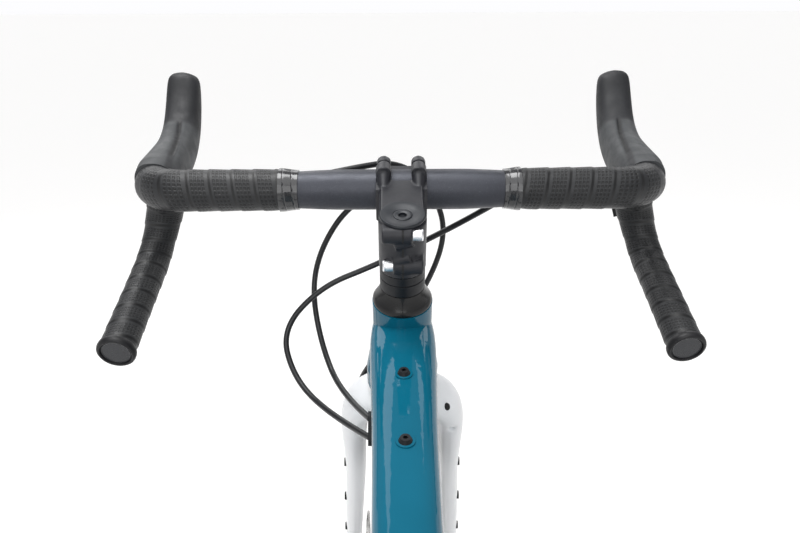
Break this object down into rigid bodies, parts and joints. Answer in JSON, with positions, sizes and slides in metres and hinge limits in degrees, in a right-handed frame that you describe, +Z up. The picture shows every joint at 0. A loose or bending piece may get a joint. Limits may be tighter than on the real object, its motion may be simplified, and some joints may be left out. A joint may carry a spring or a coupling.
{
  "type": "gravel bike",
  "caption": "Gravel bike with a flared drop handlebar, sloping-top-tube frame, straight fork, disc brakes and a chain drive with a rear derailleur.",
  "frame": {"origin": "on the ground midway between the two axles", "axes": "+X to the bike's right side, +Y forward, +Z up"},
  "size_m": [0.486, 1.7156, 0.9319],
  "materials": {
    "frame_paint": "gloss paint",
    "fork_paint": "gloss paint",
    "bar_alloy": "satin",
    "black_alloy": "satin",
    "steel": "satin",
    "bolt_steel": "satin",
    "tyre_rubber": "matt",
    "tape_wrap": "perforated matt",
    "hood_rubber": "matt",
    "plastic": "matt",
    "hose_cover": "satin",
    "saddle_cover": "matt"
  },
  "bodies": {
    "frame": {"head_tube": "frame_paint", "top_tube": "frame_paint", "down_tube": "frame_paint", "seat_tube": "frame_paint", "bottom_bracket_shell": "frame_paint", "chain_stays": "frame_paint", "seat_stays": "frame_paint", "rear_dropouts": "black_alloy", "frame_bearings": "steel", "seat_clamp": "bar_alloy", "frame_fittings": "bolt_steel", "rear_brake_caliper": "black_alloy", "rear_thru_axle": "black_alloy", "derailleur_mount": "black_alloy", "chain": "steel", "rear_brake_hose": "hose_cover", "shift_housing": "hose_cover"},
    "seat": {"seatpost": "bar_alloy", "saddle_clamp": "bar_alloy", "saddle_rails": "steel", "saddle": "saddle_cover"},
    "steering_assembly": {"fork": "fork_paint", "headset_spacers": "bar_alloy", "stem": "bar_alloy", "stem_faceplate": "bar_alloy", "stem_bolts": "bolt_steel", "top_cap": "bar_alloy", "handlebar": "bar_alloy", "bar_tape": "tape_wrap", "bar_end_plugs": "plastic", "lever_hoods": "hood_rubber", "front_brake_caliper": "black_alloy", "front_brake_hose": "hose_cover", "front_thru_axle": "black_alloy", "fork_bolts": "bolt_steel"},
    "left_lever": {"left_brake_lever": "black_alloy"},
    "right_lever": {"right_brake_lever": "black_alloy"},
    "paddle": {"shift_paddle": "plastic"},
    "front_wheel": {"front_tyre": "tyre_rubber", "front_rim": "black_alloy", "front_spokes": "steel", "front_hub": "black_alloy", "front_rotor": "steel"},
    "rear_wheel": {"rear_tyre": "tyre_rubber", "rear_rim": "black_alloy", "rear_spokes": "steel", "rear_hub": "black_alloy", "rear_rotor": "steel"},
    "sprockets": {"cassette": "steel"},
    "crankset": {"crank_arms": "black_alloy", "chainring": "black_alloy", "pedal_axles": "steel"},
    "left_pedal_body": {"left_pedal": "plastic"},
    "right_pedal_body": {"right_pedal": "plastic"},
    "outer_link": {"derailleur_outer_link": "black_alloy"},
    "inner_link": {"derailleur_inner_link": "black_alloy"},
    "knuckle": {"derailleur_knuckle": "black_alloy"},
    "cage": {"derailleur_cage": "black_alloy"},
    "guide_wheel": {"guide_pulley": "plastic"},
    "tension_wheel": {"tension_pulley": "plastic"}
  },
  "joints": [
    {"name": "steering", "type": "hinge", "parent": "frame", "child": "steering_assembly", "pos_m": [0, 0.3331, 0.70437], "axis": [0, -0.3256, 0.9455], "range_deg": [-45, 45], "deforming": ["rear_brake_hose", "shift_housing"]},
    {"name": "seatpost_slide", "type": "slide", "parent": "frame", "child": "seat", "axis": [0, -0.2672, 0.9636], "range_m": [-0.06, 0.04]},
    {"name": "left_brake_pull", "type": "hinge", "parent": "steering_assembly", "child": "left_lever", "pos_m": [-0.2035, 0.49738, 0.87709], "axis": [-1, 0, 0], "range_deg": [0, 12], "stiffness_Nm_per_rad": 1.2, "springref_deg": -11.46},
    {"name": "right_brake_pull", "type": "hinge", "parent": "steering_assembly", "child": "right_lever", "pos_m": [0.2035, 0.49738, 0.87709], "axis": [-1, 0, 0], "range_deg": [0, 12], "stiffness_Nm_per_rad": 1.2, "springref_deg": -11.46},
    {"name": "shift_push", "type": "hinge", "parent": "right_lever", "child": "paddle", "pos_m": [0.2056, 0.50368, 0.84559], "axis": [0, 1, 0], "range_deg": [0, 10], "stiffness_Nm_per_rad": 0.3, "springref_deg": -11.46},
    {"name": "front_wheel_spin", "type": "hinge", "parent": "steering_assembly", "child": "front_wheel", "pos_m": [0, 0.508, 0.35], "axis": [1, 0, 0], "continuous": true},
    {"name": "rear_wheel_spin", "type": "hinge", "parent": "frame", "child": "rear_wheel", "pos_m": [0, -0.508, 0.35], "axis": [1, 0, 0], "continuous": true},
    {"name": "crank_spin", "type": "hinge", "parent": "frame", "child": "crankset", "pos_m": [0, -0.08019, 0.28], "axis": [1, 0, 0], "continuous": true, "deforming": ["chain"]},
    {"name": "cassette_spin", "type": "hinge", "parent": "frame", "child": "sprockets", "pos_m": [0, -0.508, 0.35], "axis": [1, 0, 0], "continuous": true},
    {"name": "left_pedal_spin", "type": "hinge", "parent": "crankset", "child": "left_pedal_body", "pos_m": [0, -0.25019, 0.28], "axis": [1, 0, 0], "continuous": true},
    {"name": "right_pedal_spin", "type": "hinge", "parent": "crankset", "child": "right_pedal_body", "pos_m": [0, 0.08981, 0.28], "axis": [1, 0, 0], "continuous": true},
    {"name": "outer_link_swing", "type": "hinge", "parent": "frame", "child": "outer_link", "pos_m": [0.08364, -0.533, 0.29705], "axis": [-0.342, 0, 0.9397], "range_deg": [-6, 6]},
    {"name": "inner_link_swing", "type": "hinge", "parent": "frame", "child": "inner_link", "pos_m": [0.07236, -0.533, 0.29295], "axis": [-0.342, 0, 0.9397], "range_deg": [-6, 6]},
    {"name": "knuckle_swing", "type": "hinge", "parent": "outer_link", "child": "knuckle", "pos_m": [0.07236, -0.489, 0.29295], "axis": [-0.342, 0, 0.9397], "range_deg": [-6, 6]},
    {"name": "cage_swing", "type": "hinge", "parent": "knuckle", "child": "cage", "pos_m": [0.0445, -0.5, 0.267], "axis": [1, 0, 0], "range_deg": [-10, 16], "stiffness_Nm_per_rad": 1.5},
    {"name": "guide_pulley_spin", "type": "hinge", "parent": "cage", "child": "guide_wheel", "pos_m": [0.0445, -0.5, 0.267], "axis": [1, 0, 0], "continuous": true},
    {"name": "tension_pulley_spin", "type": "hinge", "parent": "cage", "child": "tension_wheel", "pos_m": [0.0445, -0.48288, 0.18681], "axis": [1, 0, 0], "continuous": true}
  ],
  "couplings": [
    {"joint": "cassette_spin", "follows": "crank_spin", "ratio": 1.9048},
    {"joint": "guide_pulley_spin", "follows": "crank_spin", "ratio": -3.3333},
    {"joint": "tension_pulley_spin", "follows": "crank_spin", "ratio": 3.3333},
    {"joint": "inner_link_swing", "follows": "outer_link_swing", "ratio": 1},
    {"joint": "knuckle_swing", "follows": "outer_link_swing", "ratio": -1}
  ]
}
